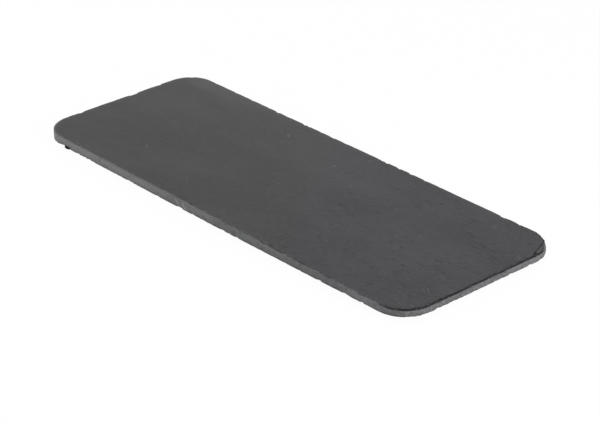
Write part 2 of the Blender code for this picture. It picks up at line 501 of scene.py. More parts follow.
dressing = {  # the filed arris of the +X end
    "filed": (0.014, 0.014, 0.015, 1),
    "pale": (0.044, 0.044, 0.045, 1),
    "paleSwell": 0.8,
    "paleEdge": (-0.04, 0.14),
    "coarse": 1.1,
    "swell": 1.3,
    "edge": (0.24, 0.34),
    "least": 0.04,
    "smoother": -0.15,
    "gapAt": -0.0170,  # Y at which the file missed, and half how far
    "gapReach": 0.0055,
    "gapEdge": (0.7, 1.1, 0.25, 1.0),
    "chipAt": 0.0490,  # Y of what came off the back end, and how far in from the rim
    "chipIn": 0.0020,
    "chipHalfLength": 0.0050,
    "chipHalfWidth": 0.0014,
    "chipRagged": 1.2,
    "chipEdge": (2.1, 1.6),
    "chipHeart": (0.95, 0.6),
    "chipped": (0.080, 0.080, 0.082, 1),
}


def nearestMark(tree, flecks):
    # the marks are drawn here, finer than the mesh, from where each point lies in its nearest mark; their
    # tone is painted light and shade that follows their height
    place, cut = (addNode("ShaderNodeAttribute", {}, tree, out="Vector", attribute_name=name)
                  for name in ("markPlace", "markCut"))
    markX, markY, markNear = splitXyz(place)
    markHeight, markLightAndShade = splitXyz(cut)[:2]
    ring = markX * markX + markY * markY + (flecks - 0.5) * riven["markRagged"]
    felt = ramp(ring, riven["markReach"], 0.0) * markNear
    return felt * markHeight * riven["markDepth"], felt * markLightAndShade


def splitStone(spot, flecks, streaks, patches, cloud):
    mottle = noise(stretched(spot, *riven["mottleSize"]), detail=2.0, rough=0.6, bend=0.5)
    broad = (patches * riven["patchShare"] + streaks * riven["streakShare"]
             + mottle * riven["mottleShare"] + cloud)
    colour = mixColour(ramp(broad, *broadSpan), riven["stone"], riven["paleStone"])
    return mixColour(ramp(flecks, *riven["fleckEdge"], 0.0, riven["fleckShare"]), colour, riven["darkStone"])


def brimDust(spot, rimDistance):
    nearRim = ramp(rimDistance, *brim["dustInner"]) * ramp(rimDistance, *brim["dustOuter"])
    amount = nearRim * brim["dustAtRim"] + brim["dustAmount"]
    dust, = placeGroup(fineDust, {"Position": spot, "Size": brim["dustSize"], "Amount": amount})
    return dust * ramp(nearRim, 0.0, 1.0, *brim["dustShare"])


def paleMargin(x, y, rimDistance):
    offFront = ramp(y - x * brim["marginSlant"], *brim["marginEdge"])
    tone = ramp(x, *brim["marginFalls"], brim["marginTone"], 0.5 * brim["marginTone"])
    return ramp(rimDistance, *brim["margin"]) * offFront * tone


def paintedArrisHighlight(worn, ragged):
    # the pale line painted as a highlight along the top arris, wider where the value is higher
    width = ramp(worn, brim["highlightFrom"], brim["highlightWidest"], brim["highlightNarrowest"] * brim["highlightWidth"],
                 brim["highlightWidth"])
    return ramp(ragged / width, *brim["highlightEdge"]) * ramp(worn, brim["highlightFrom"], brim["highlightFull"])


def dressedEnd(y, dressedZone, coarse, swell):
    # where the dressing shows, and its colour
    gap = abs(y - dressing["gapAt"]) / dressing["gapReach"]
    shown = ramp(dressedZone + coarse * dressing["coarse"] + swell * dressing["swell"], *dressing["edge"])
    shown = shown * ramp(dressedZone, 0.0, dressing["least"]) * ramp(gap, *dressing["gapEdge"])
    paler = ramp(coarse + swell * dressing["paleSwell"], *dressing["paleEdge"])
    return shown, mixColour(paler, dressing["filed"], dressing["pale"])


def chippedEnd(colour, x, y, rimDistance, coarse):
    along = (y - dressing["chipAt"]) / dressing["chipHalfLength"]
    across = (rimDistance - dressing["chipIn"]) / dressing["chipHalfWidth"]
    ring = along * along + across * across + coarse * dressing["chipRagged"]
    shown = ramp(ring, *dressing["chipEdge"]) * calc("GREATER_THAN", x, 0.0)
    colour = mixColour(shown, colour, dressing["filed"])
    return mixColour(ramp(ring, *dressing["chipHeart"]) * shown, colour, dressing["chipped"])


def rivenFinish():
    material, tree, spot = newFinish("rivenSlate")
    x, y = splitXyz(spot)[:2]
    flecks, streaks, patches = placeGroup(slateGrain, {"Position": spot, "Stretch": 1.0, "Seed": 0.0})
    flaked, flakeLightAndShade = placeGroup(flakedFace, {"Position": spot})
    rimDistance, dressedZone, worn, cloud = attributes(tree, "rimDistance", "dressed", "worn", "cloud")
    markHeight, markLightAndShade = nearestMark(tree, flecks)
    coarse = noise(spot, 1 / brim["raggedSize"], detail=3.0, rough=0.65) - 0.5
    swell = noise(spot, 1 / brim["swellSize"], detail=1.0) - 0.5
    ragged = rimDistance + coarse * brim["ragged"]

    colour = splitStone(spot, flecks, streaks, patches, cloud)
    colour = mixColour(brimDust(spot, rimDistance), colour, riven["mark"])
    # painted light and shade of the marks' and flakes' relief: paler where raised, near black where sunk
    tone = markLightAndShade + flakeLightAndShade
    colour = mixAboveZero(tone * riven["paintedLightShare"], colour, riven["mark"])
    colour = mixAboveZero(tone * riven["darkTone"], colour, riven["pit"])
    # broad patches, partly the stone's own clouding and partly painted light
    cloudAndLightShare = ramp(cloud, *riven["cloudAndLightEdge"]) * riven["cloudAndLightTone"]
    colour = mixColour(paleMargin(x, y, rimDistance) + cloudAndLightShare, colour, riven["mark"])
    violet = ramp(x + y * riven["violetSlant"], riven["violetFrom"], riven["violetTo"])
    colour = mixColour(violet, colour, riven["violet"], "MULTIPLY")
    # painted highlight along the top arris
    colour = mixColour(paintedArrisHighlight(worn, ragged), colour, brim["worn"])
    dark = ramp(ragged, *brim["darkEdge"]) * ramp(y, *brim["darkAcross"]) * ramp(x, *brim["darkAlong"])
    colour = mixColour(dark * brim["darkTone"], colour, brim["dark"])
    dressed, dressedColour = dressedEnd(y, dressedZone, coarse, swell)
    colour = mixColour(dressed, colour, dressedColour)
    colour = chippedEnd(colour, x, y, rimDistance, coarse)

    roughness = (ramp(flecks, *fineSpan, *riven["roughness"]) + dressed * dressing["smoother"]
                 + dark * brim["darkRougher"])
    height = flecks * riven["fleckRelief"] + streaks * riven["streakRelief"] + flaked + markHeight
    setShader(tree, colour, roughness, height, 1.0, riven["specular"])
    return material


rim = {
    "stone": (0.085, 0.086, 0.088, 1),
    "paleStone": (0.120, 0.121, 0.122, 1),
    "darkLayer": (0.045, 0.046, 0.047, 1),
    "dusty": (0.190, 0.194, 0.192, 1),
    # painted light on the broken facets of the rim
    "broken": (0.230, 0.234, 0.232, 1),
    # colour of the painted highlight along the top of the rim
    "topHighlight": (0.170, 0.172, 0.170, 1),
    # painted shade along the foot of the rim
    "underShade": (0.030, 0.030, 0.030, 1),
    "shadow": (0, 0, 0, 1),
    "violet": (1.010, 1.000, 1.045, 1),
    "violetAlong": (0.060, 0.110),  # X between which the cast comes in
    "roughness": (0.70, 0.85),
    "specular": 0.25,
    "bump": 0.8,
    "stretch": 0.4,
    "seed": 0.4,
    "layerThickness": 0.0007,
    "layerLength": 0.030,
    "layerEdge": (0.56, 0.72, 0.0, 0.45),  # noise from and to, then the share mixed in at each
    "layerDepth": 0.00020,
    "blotch": 0.0032,
    "darkBlotch": (0.46, 0.34, 0.0, 0.45),
    "paleBlotch": (0.55, 0.68, 0.0, 0.35),
    "blotchDepth": 0.00025,
    "fleckDepth": 0.00008,
    "end": (0.155, 0.163),  # X between which the coarser +X end begins
    "gravel": 0.0011,
    "darkGravel": (0.50, 0.36),
    "darkGravelShare": 0.6,
    "paleGravel": (0.54, 0.66),
    "paleGravelShare": 0.5,
    "dustedShare": 0.55,
    "dustSize": 0.0007,
    "dustAmount": 0.25,
    "dustWhereDusted": 0.5,
    "dustOnEnd": 0.3,
    "dustShare": 0.35,
    "shade": 0.80,  # share of its colour that the stone keeps at its underside
    "shadeHeight": 0.7,
    "scarEdge": (1.3, 0.6),  # in half widths
    "scars": {  # breaks down the front of the rim, painted pale as the light on their facets: X at the top, X at the foot and half width
        "wide": (-0.0239, -0.0197, 0.00085),
        "narrow": (-0.0300, -0.0262, 0.00045),
    },
    "raggedSize": 0.0020,
    "ragged": 0.55,
    "lowShadeLine": (0.20, 0.07),  # shares of the rim's height, over which a painted shade darkens the foot of the rim
    "lowShadeLineShare": 0.45,
    "lowShadeLineOnEnd": 0.45,
    # a painted highlight along the top of the rim, where the top arris has its painted highlight
    "highlightLine": (0.86, 0.95),
    "highlightLineWear": (0.35, 0.65),
    "highlightLineShare": 0.8,
}


def rimLayers(colour, layers, blotches, gravel, onEnd):
    colour = mixColour(ramp(layers, *rim["layerEdge"]), colour, rim["darkLayer"])
    colour = mixColour(ramp(blotches, *rim["darkBlotch"]), colour, rim["darkLayer"])
    colour = mixColour(ramp(blotches, *rim["paleBlotch"]), colour, rim["dusty"])
    dark = ramp(gravel, *rim["darkGravel"]) * onEnd * rim["darkGravelShare"]
    pale = ramp(gravel, *rim["paleGravel"]) * onEnd * rim["paleGravelShare"]
    return mixColour(pale, mixColour(dark, colour, rim["darkLayer"]), rim["dusty"])


def litRimScars(colour, x, y, level):
    onFront = calc("LESS_THAN", y, 0.0)
    outer, inner = rim["scarEdge"]
    for topX, footX, halfWidth in rim["scars"].values():
        away = abs(x - (footX + level * (topX - footX)))
        # painted light on each broken facet
        colour = mixColour(ramp(away, outer * halfWidth, inner * halfWidth) * onFront, colour, rim["broken"])
    return colour


def rimLines(colour, spot, level, worn, onEnd):
    ragged = level + (noise(spot, 1 / rim["raggedSize"], detail=3.0, rough=0.65) - 0.5) * rim["ragged"]
    # painted shade along the foot of the rim, fainter at the +X end
    lowShadeLine = ramp(ragged, *rim["lowShadeLine"]) * ramp(onEnd, 0.0, 1.0, 1.0, rim["lowShadeLineOnEnd"])
    # painted highlight along the top of the rim
    highlightLine = ramp(ragged, *rim["highlightLine"]) * ramp(worn, *rim["highlightLineWear"])
    colour = mixColour(lowShadeLine * rim["lowShadeLineShare"], colour, rim["underShade"])
    return mixColour(highlightLine * rim["highlightLineShare"], colour, rim["topHighlight"])


def rimFinish():
    material, tree, spot = newFinish("cutRim")
    x, y = splitXyz(spot)[:2]
    grained = placeGroup(slateGrain, {"Position": spot, "Stretch": rim["stretch"], "Seed": rim["seed"]})
    flecks, patches = grained[0], grained[2]
    level, worn, dusted, cloud = attributes(tree, "level", "worn", "dusted", "rimCloud")
    onEnd = ramp(x, *rim["end"])
    amount = dusted * rim["dustWhereDusted"] + onEnd * rim["dustOnEnd"] + rim["dustAmount"]
    dust, = placeGroup(fineDust, {"Position": spot, "Size": rim["dustSize"], "Amount": amount})
    layered = stretched(spot, rim["layerLength"], rim["layerLength"], rim["layerThickness"])
    layers = noise(layered, detail=3.0, rough=0.6, bend=0.2)
    blotches = noise(spot, 1 / rim["blotch"], detail=3.0, rough=0.62, bend=0.4)
    gravel = noise(spot, 1 / rim["gravel"], detail=2.0)

    colour = mixColour(ramp(patches, *broadSpan), rim["stone"], rim["paleStone"])
    colour = mixColour(dusted * rim["dustedShare"], colour, rim["dusty"])
    # broad patches on the rim, partly its own clouding and partly painted light
    colour = mixAboveZero(cloud, colour, rim["dusty"])
    colour = mixAboveZero(-cloud, colour, rim["darkLayer"])
    colour = rimLayers(colour, layers, blotches, gravel, onEnd)
    colour = mixColour(dust * rim["dustShare"], colour, rim["dusty"])
    shade = ramp(level, 0.0, rim["shadeHeight"], 1 - rim["shade"], 0.0) * (1.0 - onEnd)
    colour = mixColour(shade, colour, rim["shadow"])
    colour = litRimScars(colour, x, y, level)
    colour = mixColour(ramp(x, *rim["violetAlong"]), colour, rim["violet"], "MULTIPLY")
    colour = rimLines(colour, spot, level, worn, onEnd)

    roughness = ramp(flecks, *fineSpan, *rim["roughness"])
    height = flecks * rim["fleckDepth"] + layers * rim["layerDepth"] + blotches * rim["blotchDepth"]
    setShader(tree, colour, roughness, height, rim["bump"], rim["specular"])
    return material


rubber = {
    "colour": (0.005, 0.005, 0.0055, 1),
    "scuffed": (0.018, 0.018, 0.019, 1),
    "dustSize": 0.0005,
    "dustAmount": 0.30,
    "dustShare": 0.6,
    "pebble": 0.00025,
    "pebbleDepth": 0.00005,
    "roughness": (0.62, 0.80),
    "specular": 0.12,
}


def rubberFinish():
    material, tree, spot = newFinish("blackRubber")
    dustFeeds = {"Position": spot, "Size": rubber["dustSize"], "Amount": rubber["dustAmount"]}
    dust, = placeGroup(fineDust, dustFeeds)
    pebbles = noise(spot, 1 / rubber["pebble"], detail=2.0)
    colour = mixColour(dust * rubber["dustShare"], rubber["colour"], rubber["scuffed"])
    roughness = ramp(pebbles, *fineSpan, *rubber["roughness"])
    setShader(tree, colour, roughness, pebbles * rubber["pebbleDepth"], 1.0, rubber["specular"])
    return material


rivenSlate, cutRim, blackRubber = rivenFinish(), rimFinish(), rubberFinish()
print("finishes made")


# the slab

slab = {
    "length": 0.330,
    "width": 0.1275,
    "cornerRadii": {  # -Y is the front and +X the right
        "Front Left": 0.0215,
        "Front Right": 0.0200,
        "Back Left": 0.0176,
        "Back Right": 0.0212,
    },
    "leftThickness": 0.0058,
    "rightThickness": 0.0048,
    "belly": 0.0005,
    "seatHeight": 0.0027,
    "seatRadius": 0.008,
    "seatFade": 2.2,  # in seat radii, from the middle of a foot
    "cellsAlong": 400,
    "cellsAcross": 100,
    "rimRows": 10,
    "packing": 0.80,  # how much closer the cells lie at the rim
    "packingReach": 0.005,
    "topSeed": 1.7,
    "underSeed": 5.2,
    "topFrom": 0.99,  # share of the height
    "rimSteepness": 0.5,  # a face belongs to the rim where its normal's Z is less than this
}

relief = {
    "waveSize": (0.060, 0.028, 1),
    "wave": 0.00022,
    "ledgeSize": (0.050, 0.012, 1, 3.1),  # the last number is a seed
    "ledge": 0.00002,
    "ledgeEdges": ((0.40, 0.43), (0.52, 0.55)),
    "rippleSize": (0.016, 0.0032, 1, 7.7),
    "ripple": 0.00002,
    "rippleLeft": 0.35,  # share of the ripple left at the smoother -X end
    "rippleAlong": (-0.5, 0.7),  # in half lengths of the slab
    "pitSpacing": 0.014,
    "pitRadius": 0.0011,
    "pitLeast": 0.0001,
    "pitFloor": 0.3,
    "pit": 0.00018,
}


def rivenReliefTree():
    # height of a split face over its mean plane
    inputs = {"Place": (point, None), "Seed": (number, 0.0), "Half Length": (number, slab["length"] / 2)}
    tree, given, result = newTree("rivenRelief", "GeometryNodeTree", inputs, {"Height": number})
    seeded = vectorCalc("ADD", given["Place"], joinXyz(0.0, 0.0, given["Seed"]))
    wave = noise(stretched(seeded, *relief["waveSize"]), detail=2.0)
    layer = noise(stretched(seeded, *relief["ledgeSize"]), detail=4.0, rough=0.6, bend=0.3)
    firstLedge, secondLedge = (ramp(layer, *edge) for edge in relief["ledgeEdges"])
    rippleShare = ramp(splitXyz(given["Place"])[0] / given["Half Length"], *relief["rippleAlong"],
                       relief["rippleLeft"])
    ripple = noise(stretched(seeded, *relief["rippleSize"]), detail=3.0, rough=0.6, bend=0.25)
    away, size = cells(seeded, relief["pitSpacing"])[:2]
    wide = calc("MAXIMUM", size * (2 * relief["pitRadius"]), relief["pitLeast"])
    pit = ramp(away / wide, 1.0, relief["pitFloor"])
    feed(result["Height"], (wave - 0.5) * (2 * relief["wave"])
         + (firstLedge + secondLedge - 1.0) * relief["ledge"]
         + (ripple - 0.5) * rippleShare * (2 * relief["ripple"])
         + pit * -relief["pit"])
    return tree


# marks that stand out on the top face, in millimetres: place, half length, half width, turn in
# degrees, height (below zero for a pit) and tone, above zero for a pale mark; the tone is painted light and
# shade of the mark's relief, darker where sunk and paler where raised
marks = [
    (-139.6, -62.3, 2.2, 0.7, 0, -0.10, -0.60),
    (-126.0, -62.6, 2.0, 0.6, 0, -0.10, -0.50),
    (-112.0, -62.5, 4.0, 0.7, 0, -0.10, -0.60),
    (-129.0, -61.0, 1.6, 0.6, 0, 0.20, 0.40),
    (-125.6, -26.6, 1.8, 1.0, -25, 0.38, 0.20),
    (-123.2, -28.2, 1.3, 0.9, -25, -0.30, -0.35),
    (-120.0, -59.5, 2.4, 0.8, 10, 0.20, 0.25),
    (-96.0, -32.3, 3.0, 0.7, -40, 0.30, 0.40),
    (-95.8, -16.4, 2.6, 1.4, -25, -0.16, -0.28),
    (-71.0, 41.2, 3.6, 0.9, -15, 0.18, 0.15),
    (-65.2, 40.2, 1.6, 0.8, -20, -0.15, -0.25),
    (-61.8, 38.0, 1.6, 0.9, -35, 0.25, 0.20),
    (-56.0, 46.0, 2.2, 0.9, -28, 0.30, 0.35),
    (-49.5, 55.5, 1.8, 1.1, 60, 0.15, 0.18),
    (-48.0, 44.2, 2.4, 1.2, -45, 0.35, 0.55),
    (-41.8, -44.9, 4.6, 0.6, -38, 0.28, 0.25),
    (-27.3, -61.6, 1.5, 0.8, -30, -0.30, -0.55),
    (-18.0, -19.8, 1.6, 0.8, -35, 0.22, 0.16),
    (-14.4, -24.4, 1.8, 1.0, -10, -0.20, -0.30),
    (-4.8, -12.8, 3.0, 0.9, -25, -0.14, -0.24),
    (3.6, 35.9, 1.8, 1.6, 0, 0.15, 0.30),
    (7.0, -61.6, 1.4, 0.8, 0, -0.35, -0.30),
    (13.2, 57.0, 2.0, 1.0, 50, 0.30, 0.40),
    (13.6, 0.8, 2.6, 0.9, -30, -0.22, -0.38),
    (15.2, 2.9, 1.8, 0.9, -20, 0.18, 0.14),
    (25.6, 37.2, 3.0, 1.2, 0, -0.16, -0.24),
    (36.6, 18.4, 2.8, 1.2, -20, -0.14, -0.26),
    (44.6, 2.8, 1.8, 1.2, -10, -0.28, -0.45),
    (47.4, 0.6, 1.4, 0.9, -35, 0.22, 0.18),
    (49.0, 42.2, 6.5, 0.9, -2, -0.20, -0.32),
    (54.2, -62.4, 1.5, 0.8, -20, -0.35, -0.45),
    (56.2, -60.2, 1.4, 0.8, -20, 0.20, 0.20),
    (58.4, -1.6, 1.6, 0.8, -20, -0.20, -0.26),
    (66.6, -5.2, 1.4, 0.8, -30, -0.20, -0.28),
    (66.8, 22.4, 3.0, 1.4, -5, -0.14, -0.24),
    (72.6, -29.2, 1.8, 0.9, -35, -0.16, -0.24),
    (75.4, -5.8, 2.0, 1.0, -10, -0.16, -0.26),
    (75.8, 44.2, 1.8, 0.9, -30, -0.25, -0.35),
    (77.4, -11.2, 1.8, 0.9, -10, -0.16, -0.24),
    (80.0, 42.6, 1.8, 0.9, -30, -0.16, -0.30),
    (81.0, 38.6, 1.6, 0.9, -30, 0.16, 0.14),
    (81.6, -11.2, 1.8, 0.8, -40, -0.16, -0.24),
    (83.8, 48.2, 1.5, 1.0, -30, -0.30, -0.50),
    (85.6, 46.4, 1.5, 0.9, -30, 0.25, 0.28),
    (88.6, 34.3, 4.8, 0.7, 0, -0.22, -0.35),
    (90.0, 1.4, 1.0, 0.7, -20, -0.24, -0.40),
    (92.0, -22.4, 3.8, 0.8, -4, -0.18, -0.26),
    (96.6, -6.2, 1.8, 0.7, -20, -0.18, -0.24),
    (97.2, -1.2, 7.5, 0.9, -6, 0.22, 0.14),
    (99.2, -9.0, 2.0, 0.8, -20, -0.18, -0.26),
    (101.0, 13.2, 1.3, 0.7, -20, -0.28, -0.50),
    (104.6, 9.2, 4.8, 0.5, -60, 0.15, 0.22),
    (105.4, -12.4, 1.9, 0.8, -48, 0.28, 0.24),
    (107.2, -14.7, 1.4, 0.9, -48, -0.28, -0.38),
    (110.6, 46.8, 3.8, 0.9, 0, -0.22, -0.32),
    (113.6, -21.6, 2.0, 1.2, -20, -0.16, -0.26),
    (118.2, -39.2, 1.2, 0.8, -45, -0.28, -0.38),
    (121.0, 32.8, 2.0, 1.0, 0, -0.16, -0.26),
    (121.6, 51.6, 1.0, 0.6, 0, -0.20, -0.24),
    (122.6, -22.8, 1.9, 0.9, -5, -0.38, -0.50),
    (123.8, -42.4, 2.0, 0.8, 0, -0.30, -0.45),
    (124.6, 50.2, 3.4, 0.8, -25, 0.24, 0.26),
    (126.0, -30.6, 3.4, 1.2, -5, -0.16, -0.26),
    (133.6, -17.8, 5.0, 0.6, -8, 0.20, 0.14),
    (134.4, 23.0, 4.6, 0.8, 0, -0.24, -0.36),
    (143.8, 45.0, 2.2, 0.9, -20, -0.16, -0.24),
    (144.2, -21.4, 2.0, 1.1, -10, -0.16, -0.24),
    (148.4, -61.8, 1.6, 0.9, -20, -0.30, -0.45),
    (149.4, 34.2, 2.2, 0.7, 40, 0.20, 0.18),
    (150.4, -45.0, 2.8, 1.2, -10, -0.18, -0.28),
    (150.6, -34.4, 2.4, 0.5, -28, 0.25, 0.34),
    (152.4, -32.4, 3.2, 0.6, -28, 0.30, 0.60),
    (154.0, -38.2, 4.8, 1.0, 0, -0.18, -0.28),
    (155.6, 1.3, 7.2, 0.7, 0, -0.22, -0.30),
    (156.0, 17.1, 1.7, 0.8, -15, -0.24, -0.34),
    (159.2, 13.4, 2.4, 0.9, 0, -0.24, -0.36),
    (160.0, 33.4, 2.6, 0.9, -50, 0.24, 0.40),
]

# broad patches of the top face, in millimetres: place, half length, half width and tone; partly the stone's
# own clouding and partly painted light, paler towards the far left and darker towards the near right
cloudsAndLight = [
    (37.0, -30.0, 16.0, 7.0, -0.10),
    (-19.0, -5.0, 13.0, 9.0, -0.05),
    (10.0, -28.0, 30.0, 14.0, -0.07),
    (-20.0, 44.0, 26.0, 14.0, 0.03),
    (-135.0, 12.0, 14.0, 14.0, 0.10),
    (-60.0, 60.0, 40.0, 8.0, 0.08),
    (-85.0, -34.0, 12.0, 7.0, 0.05),
    (140.0, 8.0, 22.0, 22.0, -0.04),
    (-128.0, 58.0, 46.0, 13.0, 0.20),
    (-148.0, 57.0, 12.0, 7.0, 0.14),
    (-125.0, -57.0, 32.0, 7.0, 0.05),
    (-153.0, -46.0, 14.0, 16.0, 0.08),
    (120.0, 52.0, 44.0, 14.0, 0.10),
    (72.0, -40.0, 95.0, 28.0, -0.14),
    (112.0, 28.0, 50.0, 24.0, 0.05),
]

# and of the cut rim, partly its own clouding and partly painted light, paler at the rounded front left corner
rimCloudsAndLight = [
    (44.0, -64.0, 34.0, 8.0, 0.48),
    (88.0, -64.0, 12.0, 8.0, 0.12),
    (133.0, -64.0, 15.0, 8.0, 0.75),
    (165.0, -14.0, 8.0, 10.0, -0.30),
    (-158.0, -56.0, 9.0, 9.0, 0.60),
    (-4.0, -64.0, 10.0, 8.0, 0.60),
    (-35.0, -64.0, 10.0, 8.0, -0.12),
]

mmPerMetre = 1000


def markPoints():
    mesh = bpy.data.meshes.new("marks")
    mesh.from_pydata([(mark[0] / mmPerMetre, mark[1] / mmPerMetre, 0) for mark in marks], [], [])
    sizes = mesh.attributes.new("markSize", "FLOAT_VECTOR", "POINT")
    cuts = mesh.attributes.new("markCut", "FLOAT_VECTOR", "POINT")
    for i, (x, y, halfLength, halfWidth, turn, height, tone) in enumerate(marks):
        sizes.data[i].vector = (halfLength / mmPerMetre, halfWidth / mmPerMetre, math.radians(turn))
        # markCut holds each mark's height and its painted light and shade
        cuts.data[i].vector = (height / mmPerMetre, tone, 0)
    holder = bpy.data.objects.new("marks", mesh)
    bpy.context.scene.collection.objects.link(holder)
    return holder


markFelt = (0.0045, 0.0025)  # how far past its half length a mark is still felt


def nearMarks(tree, markObject, plan, onTop):
    # where each point lies in its nearest mark, in half sizes, and that mark's height and tone
    geometryOfMarks = addNode("GeometryNodeObjectInfo", {"Object": markObject}, out="Geometry")
    nearest = addNode("GeometryNodeSampleNearest", {"Geometry": geometryOfMarks, "Sample Position": plan})
    perFace = addNode("GeometryNodeFieldOnDomain", {"Value": nearest}, data_type="INT", domain="FACE")

    def ofMark(value):
        feeds = {"Geometry": geometryOfMarks, "Value": value, "Index": perFace}
        return addNode("GeometryNodeSampleIndex", feeds, data_type="FLOAT_VECTOR")

    def named(name):
        return addNode("GeometryNodeInputNamedAttribute", {"Name": name}, tree, data_type="FLOAT_VECTOR")

    centre = ofMark(addNode("GeometryNodeInputPosition", {}, tree))
    length, width, turn = splitXyz(ofMark(named("markSize")))
    away = vectorCalc("SUBTRACT", plan, centre)
    turned = addNode("ShaderNodeVectorRotate", {"Vector": away, "Angle": -turn}, rotation_type="Z_AXIS")
    x, y = splitXyz(turned)[:2]
    felt = ramp(vectorCalc("LENGTH", away, out=1) - length, *markFelt) * onTop
    return joinXyz(x / length, y / width, felt), ofMark(named("markCut"))


cloudAndLightReach = 1.6  # in half sizes


def cloudAndLightTone(plan, places):
    # tone of the patches: partly clouding of the stone and partly painted light
    tone = 0.0
    for x, y, halfLength, halfWidth, strength in places:
        away = vectorCalc("SUBTRACT", plan, (x / mmPerMetre, y / mmPerMetre, 0))
        away = vectorCalc("MULTIPLY", away, (mmPerMetre / halfLength, mmPerMetre / halfWidth, 0))
        tone = tone + ramp(vectorCalc("LENGTH", away, out=1), cloudAndLightReach, 0.0, 0.0, strength)
    return tone


def roundedPlan(u, v, given, halfLength, halfWidth):
    # bends the square grid of the block to the outline; also gives the radius of the nearest corner
    isRight, isBack = calc("GREATER_THAN", u, 0.0), calc("GREATER_THAN", v, 0.0)
    frontRadius = ramp(isRight, 0.0, 1.0, given["Front Left Radius"], given["Front Right Radius"], False)
    backRadius = ramp(isRight, 0.0, 1.0, given["Back Left Radius"], given["Back Right Radius"], False)
    radius = ramp(isBack, 0.0, 1.0, frontRadius, backRadius, False)

    def spread(t, half):
        # the grid lines lie closer together towards the rim
        inside = (1.0 - abs(t)) * half
        fade = calc("EXPONENT", inside / -slab["packingReach"])
        return calc("SIGN", t) * (half - inside * (1.0 - fade * slab["packing"]))

    def overCorner(t, half):
        return clamped((abs(t) - (half - radius)) / radius)

    def rounded(t, own, other):
        shrink = calc("SQRT", 1.0 - other * other * 0.5)
        return t - calc("SIGN", t) * (radius * own * (1.0 - shrink))

    squareX, squareY = spread(u, halfLength), spread(v, halfWidth)
    along, across = overCorner(squareX, halfLength), overCorner(squareY, halfWidth)
    return rounded(squareX, along, across), rounded(squareY, across, along), radius


def fromRim(plan, halfLength, halfWidth, radius):
    # distance in from the rim, and the way out of the stone
    start = joinXyz(halfLength - radius, halfWidth - radius, 1.0)
    past = vectorCalc("SUBTRACT", vectorCalc("ABSOLUTE", plan), start)
    pastX, pastY = splitXyz(past)[:2]
    corner = vectorCalc("MAXIMUM", past, (0, 0, 0))
    inner = calc("MINIMUM", calc("MAXIMUM", pastX, pastY), 0.0)
    distance = calc("MAXIMUM", radius - (vectorCalc("LENGTH", corner, out=1) + inner), 0.0)
    outward = vectorCalc("MULTIPLY", vectorCalc("NORMALIZE", corner), vectorCalc("SIGN", plan))
    return distance, outward


def offFeet(plan):
    # 0 over the feet and 1 away from them
    nearestFoot = 1.0
    for name in footNames:
        low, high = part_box(name)
        centre = ((low[0] + high[0]) / 2, (low[1] + high[1]) / 2, 0)
        nearestFoot = calc("MINIMUM", nearestFoot, vectorCalc("DISTANCE", plan, centre, out=1))
    return ramp(nearestFoot, slab["seatRadius"], slab["seatFade"] * slab["seatRadius"])


edges = {
    "arrisWidth": 0.0008,
    "arrisDrop": 0.00022,
    "arrisGrain": 0.0016,
    "arrisUneven": (0.5, 1.5),  # narrowest and widest share of the width
    "dressedWidth": 0.0030,
    "dressedDrop": 0.00055,
    "dressedGrain": 0.0022,
    "dressedUneven": (0.35, 1.3),
    "dressedFrom": (0.001, 0.009),  # X past the start of the corners
    "nickSpacing": 0.0046,
    "nickEdge": (0.52, 0.70),
    "nickReach": 0.00050,
    "nickDrop": 0.00030,
    "nickWidth": 0.0014,
    "topSeed": 2.3,
    "underSeed": 6.1,
    "jagSpacing": 0.0030,
    "jagSeed": 4.7,
    "jagEdge": (0.46, 0.66),
    "jagRise": 0.00055,
    "jagWidth": 0.0009,
    "jagsFrom": (-0.135, -0.125),  # X
    "jagsFull": (0.150, 0.160),
    "frontJags": 0.20,  # the front and back are less jagged than the +X end
    "spallX": -0.1376,
    "spallLeft": 0.0124,
    "spallFull": 0.0014,
    "spallRight": 0.0048,
    "spallSoft": 0.0018,
    "spallHeight": 0.0014,
    "spallReach": 0.0026,
    "waver": 0.00012,
    "waverLength": 0.018,
    "waverRise": 0.004,  # how far its noise moves on from the underside to the top
    "layerRelief": 0.00007,
    "layerSize": (0.02, 0.02, 0.0009),
    "layerRise": 0.005,
    "upperRim": (0.72, 1.0),  # shares of the rim's height
    "lowerRim": (0.28, 0.0),
    "rimDepth": 0.003,
}

# missing from the top arris: place of the middle, half length, reach inwards and drop
flakes = [
    (-0.0195, -0.0640, 0.0065, 0.0010, 0.0009),
    (0.1600, 0.0560, 0.0060, 0.0012, 0.0008),
    (-0.1650, 0.0120, 0.0040, 0.0004, 0.0004),
]
flakeEdge = (1.25, 0.5)  # in half lengths


def nicks(plan, seed):
    spacing = edges["nickSpacing"]
    return ramp(noise(stretched(plan, spacing, spacing, 1, seed), detail=2.0, rough=0.6), *edges["nickEdge"])


def flakeLoss(plan):
    # how far inwards and how far down the missing flakes reach
    reach, drop = 0.0, 0.0
    for x, y, halfLength, flakeReach, flakeDrop in flakes:
        away = vectorCalc("DISTANCE", plan, (x, y, 0), out=1) / halfLength
        reach = calc("MAXIMUM", reach, ramp(away, *flakeEdge, 0.0, flakeReach))
        drop = calc("MAXIMUM", drop, ramp(away, *flakeEdge, 0.0, flakeDrop))
    return reach, drop


def arrisDrops(x, y, level, plan, rimDistance, cornerStart):
    # the worn arris, and the wider one that a file has dressed at the +X end
    def slope(kind, grained):
        varied = ramp(grained, *fineSpan, *edges[kind + "Uneven"], smooth=False)
        return clamped(1.0 - rimDistance / (edges[kind + "Width"] * varied))

    worn = slope("arris", noise(joinXyz(x, y, level), 1 / edges["arrisGrain"], detail=2.0, rough=0.6))
    dressed = slope("dressed", noise(plan, 1 / edges["dressedGrain"], detail=3.0, rough=0.7))
    zone = ramp(x - cornerStart, *edges["dressedFrom"])
    return worn * worn * edges["arrisDrop"], zone * dressed


